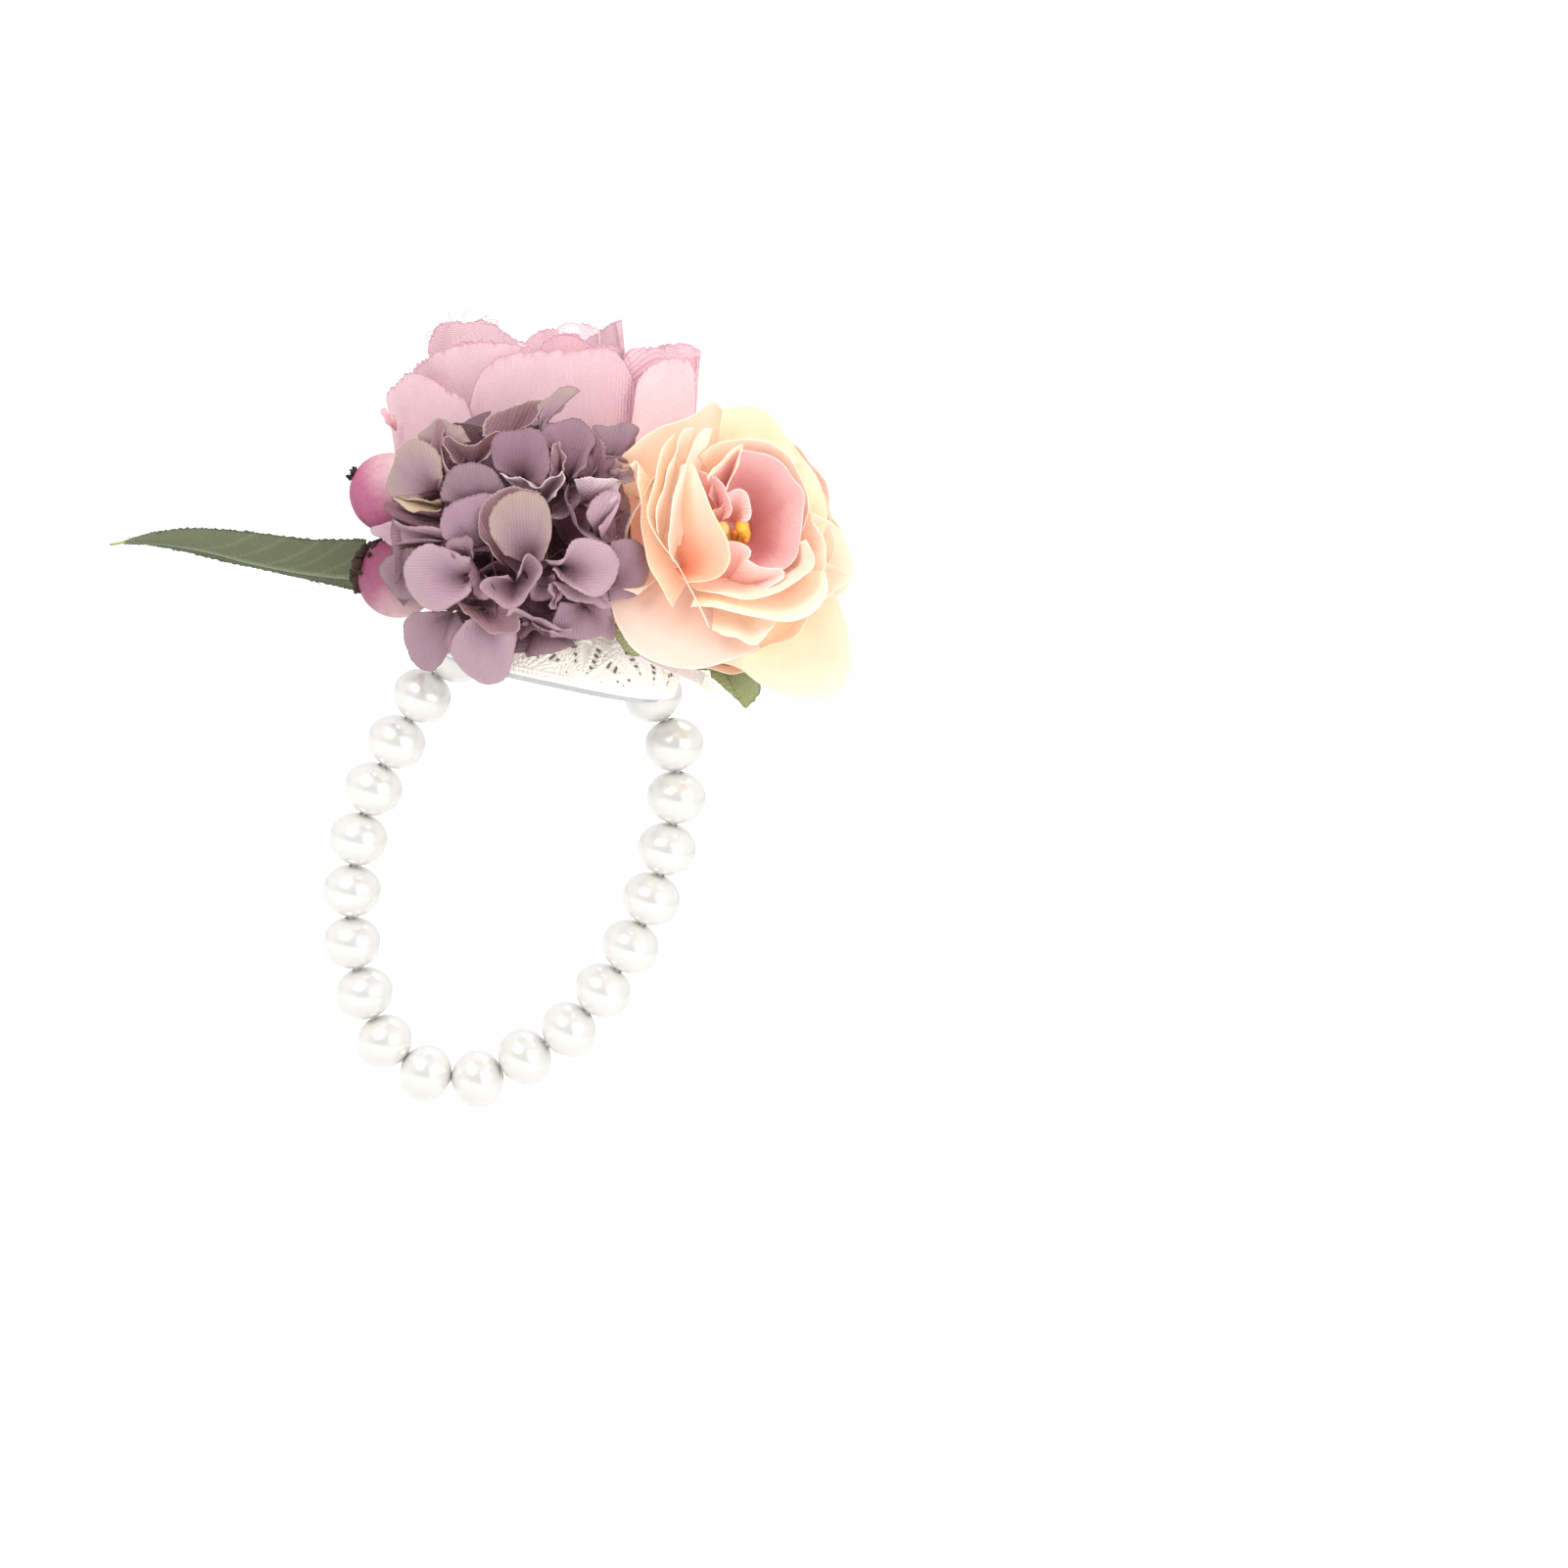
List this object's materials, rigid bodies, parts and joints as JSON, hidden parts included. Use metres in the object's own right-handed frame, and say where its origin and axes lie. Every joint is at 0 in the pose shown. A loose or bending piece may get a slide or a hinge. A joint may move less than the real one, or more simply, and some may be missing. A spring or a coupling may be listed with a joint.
{
  "type": "wrist corsage",
  "caption": "Artificial flower corsage with berries and a leaf on a lace-covered plate, worn on an elastic strand of pearls.",
  "frame": {"origin": "middle of the plate's flat underside, the face that lies on the wrist", "axes": "+Z from the wrist out to the flowers, +X across the wrist along the plate towards the rose, +Y along the forearm, away from the hydrangea"},
  "size_m": [0.1035, 0.0577, 0.1144],
  "materials": {
    "metal": "thin stamped steel, dull silver",
    "foam": "soft off-white foam",
    "lace": "off-white crochet lace",
    "satin": "white satin with a lavender tint",
    "glue": "set hot-melt glue",
    "elastic": "translucent white elastic",
    "pearl": "ivory pearl lacquer",
    "stem": "green coated wire",
    "pink_cloth": "dusty pink woven polyester petals",
    "peach_cloth": "peach woven polyester petals",
    "heart_cloth": "salmon pink inner petals",
    "mauve_cloth": "mauve woven polyester petals",
    "leaf_cloth": "dark green woven polyester",
    "berry": "speckled magenta foam berry",
    "crown": "dried brown crown",
    "stamen": "yellow stamens"
  },
  "bodies": {
    "flower_head": {"clip_plate": "metal", "foam_pad": "foam", "lace_cover": "lace", "satin_ribbon": "satin", "glue_mound": "glue", "cord_knot": "elastic", "pink_stem": "stem", "pink_petals_outer": "pink_cloth", "pink_petals_second": "pink_cloth", "pink_petals_third": "pink_cloth", "pink_petals_inner": "pink_cloth", "pink_bud": "pink_cloth", "rose_stem": "stem", "rose_sepals": "leaf_cloth", "rose_petals_outer": "peach_cloth", "rose_petals_second": "peach_cloth", "rose_petals_third": "peach_cloth", "rose_petals_inner": "peach_cloth", "rose_heart_petals": "heart_cloth", "rose_stamens": "stamen", "hydrangea_stem": "stem", "hydrangea_floret_01": "mauve_cloth", "hydrangea_floret_02": "mauve_cloth", "hydrangea_floret_03": "mauve_cloth", "hydrangea_floret_04": "mauve_cloth", "hydrangea_floret_05": "mauve_cloth", "hydrangea_floret_06": "mauve_cloth", "hydrangea_floret_07": "mauve_cloth", "hydrangea_floret_08": "mauve_cloth", "hydrangea_floret_09": "mauve_cloth", "hydrangea_floret_10": "mauve_cloth", "hydrangea_floret_11": "mauve_cloth", "berry_wire": "stem", "berry_upper": "berry", "berry_upper_crown": "crown", "berry_lower": "berry", "berry_lower_crown": "crown", "leaf_blade": "leaf_cloth", "leaf_wire": "stem"},
    "strand": {"elastic_cord": "elastic", "pearl_01": "pearl", "pearl_20": "pearl"},
    "pearl_02": {"pearl_02": "pearl"},
    "pearl_03": {"pearl_03": "pearl"},
    "pearl_04": {"pearl_04": "pearl"},
    "pearl_05": {"pearl_05": "pearl"},
    "pearl_06": {"pearl_06": "pearl"},
    "pearl_07": {"pearl_07": "pearl"},
    "pearl_08": {"pearl_08": "pearl"},
    "pearl_09": {"pearl_09": "pearl"},
    "pearl_10": {"pearl_10": "pearl"},
    "pearl_11": {"pearl_11": "pearl"},
    "pearl_12": {"pearl_12": "pearl"},
    "pearl_13": {"pearl_13": "pearl"},
    "pearl_14": {"pearl_14": "pearl"},
    "pearl_15": {"pearl_15": "pearl"},
    "pearl_16": {"pearl_16": "pearl"},
    "pearl_17": {"pearl_17": "pearl"},
    "pearl_18": {"pearl_18": "pearl"},
    "pearl_19": {"pearl_19": "pearl"}
  },
  "joints": [
    {"name": "strand_swing", "type": "hinge", "parent": "flower_head", "child": "strand", "pos_m": [0, 0, 0.0015], "axis": [1, 0, 0], "range_deg": [-45, 45]},
    {"name": "pearl_02_slide", "type": "slide", "parent": "strand", "child": "pearl_02", "axis": [0, 0, -1], "range_m": [0, 0.00112]},
    {"name": "pearl_03_slide", "type": "slide", "parent": "strand", "child": "pearl_03", "axis": [0, 0, -1], "range_m": [0, 0.00333]},
    {"name": "pearl_04_slide", "type": "slide", "parent": "strand", "child": "pearl_04", "axis": [0, 0, -1], "range_m": [0, 0.00634]},
    {"name": "pearl_05_slide", "type": "slide", "parent": "strand", "child": "pearl_05", "axis": [0, 0, -1], "range_m": [0, 0.00987]},
    {"name": "pearl_06_slide", "type": "slide", "parent": "strand", "child": "pearl_06", "axis": [0, 0, -1], "range_m": [0, 0.01343]},
    {"name": "pearl_07_slide", "type": "slide", "parent": "strand", "child": "pearl_07", "axis": [0, 0, -1], "range_m": [0, 0.01654]},
    {"name": "pearl_08_slide", "type": "slide", "parent": "strand", "child": "pearl_08", "axis": [0, 0, -1], "range_m": [0, 0.01872]},
    {"name": "pearl_09_slide", "type": "slide", "parent": "strand", "child": "pearl_09", "axis": [0, 0, -1], "range_m": [0, 0.01985]},
    {"name": "strand_stretch", "type": "slide", "parent": "strand", "child": "pearl_10", "axis": [0, 0, -1], "range_m": [0, 0.02], "stiffness_N_per_m": 60, "springref_m": -0.002, "deforming": ["elastic_cord"]},
    {"name": "pearl_11_slide", "type": "slide", "parent": "strand", "child": "pearl_11", "axis": [0, 0, -1], "range_m": [0, 0.02]},
    {"name": "pearl_12_slide", "type": "slide", "parent": "strand", "child": "pearl_12", "axis": [0, 0, -1], "range_m": [0, 0.01959]},
    {"name": "pearl_13_slide", "type": "slide", "parent": "strand", "child": "pearl_13", "axis": [0, 0, -1], "range_m": [0, 0.01845]},
    {"name": "pearl_14_slide", "type": "slide", "parent": "strand", "child": "pearl_14", "axis": [0, 0, -1], "range_m": [0, 0.01624]},
    {"name": "pearl_15_slide", "type": "slide", "parent": "strand", "child": "pearl_15", "axis": [0, 0, -1], "range_m": [0, 0.01322]},
    {"name": "pearl_16_slide", "type": "slide", "parent": "strand", "child": "pearl_16", "axis": [0, 0, -1], "range_m": [0, 0.00972]},
    {"name": "pearl_17_slide", "type": "slide", "parent": "strand", "child": "pearl_17", "axis": [0, 0, -1], "range_m": [0, 0.00619]},
    {"name": "pearl_18_slide", "type": "slide", "parent": "strand", "child": "pearl_18", "axis": [0, 0, -1], "range_m": [0, 0.00311]},
    {"name": "pearl_19_slide", "type": "slide", "parent": "strand", "child": "pearl_19", "axis": [0, 0, -1], "range_m": [0, 0.00096]}
  ],
  "couplings": [
    {"joint": "pearl_02_slide", "follows": "strand_stretch", "ratio": 0.0554},
    {"joint": "pearl_03_slide", "follows": "strand_stretch", "ratio": 0.1655},
    {"joint": "pearl_04_slide", "follows": "strand_stretch", "ratio": 0.3163},
    {"joint": "pearl_05_slide", "follows": "strand_stretch", "ratio": 0.4928},
    {"joint": "pearl_06_slide", "follows": "strand_stretch", "ratio": 0.6706},
    {"joint": "pearl_07_slide", "follows": "strand_stretch", "ratio": 0.8263},
    {"joint": "pearl_08_slide", "follows": "strand_stretch", "ratio": 0.9352},
    {"joint": "pearl_09_slide", "follows": "strand_stretch", "ratio": 0.9917},
    {"joint": "pearl_11_slide", "follows": "strand_stretch", "ratio": 0.9995},
    {"joint": "pearl_12_slide", "follows": "strand_stretch", "ratio": 0.9787},
    {"joint": "pearl_13_slide", "follows": "strand_stretch", "ratio": 0.9218},
    {"joint": "pearl_14_slide", "follows": "strand_stretch", "ratio": 0.8112},
    {"joint": "pearl_15_slide", "follows": "strand_stretch", "ratio": 0.6601},
    {"joint": "pearl_16_slide", "follows": "strand_stretch", "ratio": 0.4851},
    {"joint": "pearl_17_slide", "follows": "strand_stretch", "ratio": 0.3089},
    {"joint": "pearl_18_slide", "follows": "strand_stretch", "ratio": 0.1549},
    {"joint": "pearl_19_slide", "follows": "strand_stretch", "ratio": 0.0474}
  ]
}
